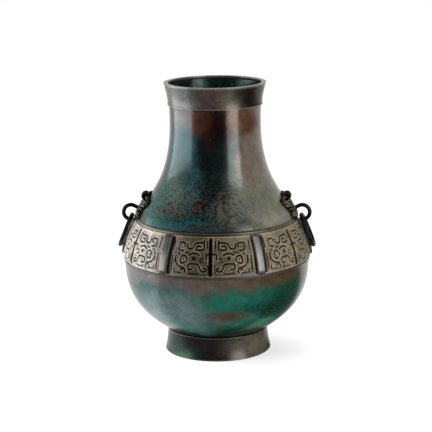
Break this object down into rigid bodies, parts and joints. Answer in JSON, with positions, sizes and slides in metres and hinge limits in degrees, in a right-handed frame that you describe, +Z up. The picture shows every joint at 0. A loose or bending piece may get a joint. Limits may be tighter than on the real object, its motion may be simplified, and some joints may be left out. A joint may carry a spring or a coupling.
{
  "type": "bronze hu vase",
  "caption": "Round-bellied ritual wine vase with a collared mouth, a foot ring, a relief frieze between ribs, and two animal-mask handles with swinging rings.",
  "frame": {"origin": "on the axis of the vase, on the surface that the foot ring stands on", "axes": "+Z up along the axis of the vase, +X through the right-hand handle, -Y through the middle of the front frieze panel"},
  "size_m": [0.2202, 0.2076, 0.3],
  "materials": {
    "vessel_patina": "polished cast bronze with a green, teal and brown patina",
    "collar_bronze": "smooth brown-grey patinated bronze",
    "foot_bronze": "smooth dark brown patinated bronze",
    "buff_relief": "dull buff-coloured relief casting, dark in the grooves",
    "rib_bronze": "smooth grey-green patinated bronze",
    "dark_bar": "smooth grey-black patinated bronze"
  },
  "bodies": {
    "vessel": {"vessel_body": "vessel_patina", "mouth_collar": "collar_bronze", "foot_ring": "foot_bronze", "base_plate": "foot_bronze", "lower_border": "buff_relief", "upper_border": "buff_relief", "frieze_panel_1": "buff_relief", "frieze_panel_2": "buff_relief", "frieze_panel_3": "buff_relief", "frieze_panel_4": "buff_relief", "frieze_panel_5": "buff_relief", "frieze_panel_6": "buff_relief", "rib_1": "rib_bronze", "rib_2": "rib_bronze", "rib_3": "rib_bronze", "rib_4": "rib_bronze", "rib_5": "rib_bronze", "rib_6": "rib_bronze", "mask_right": "buff_relief", "loop_right": "dark_bar", "rove_right": "rib_bronze", "mask_left": "buff_relief", "loop_left": "dark_bar", "rove_left": "rib_bronze"},
    "ring_right": {"ring_right": "dark_bar"},
    "ring_left": {"ring_left": "dark_bar"}
  },
  "joints": [
    {"name": "ring_right_swing", "type": "hinge", "parent": "vessel", "child": "ring_right", "pos_m": [0.09422, 0, 0.15135], "axis": [0, -1, 0], "range_deg": [0, 189]},
    {"name": "ring_left_swing", "type": "hinge", "parent": "vessel", "child": "ring_left", "pos_m": [-0.09422, 0, 0.15135], "axis": [0, 1, 0], "range_deg": [0, 189]}
  ]
}
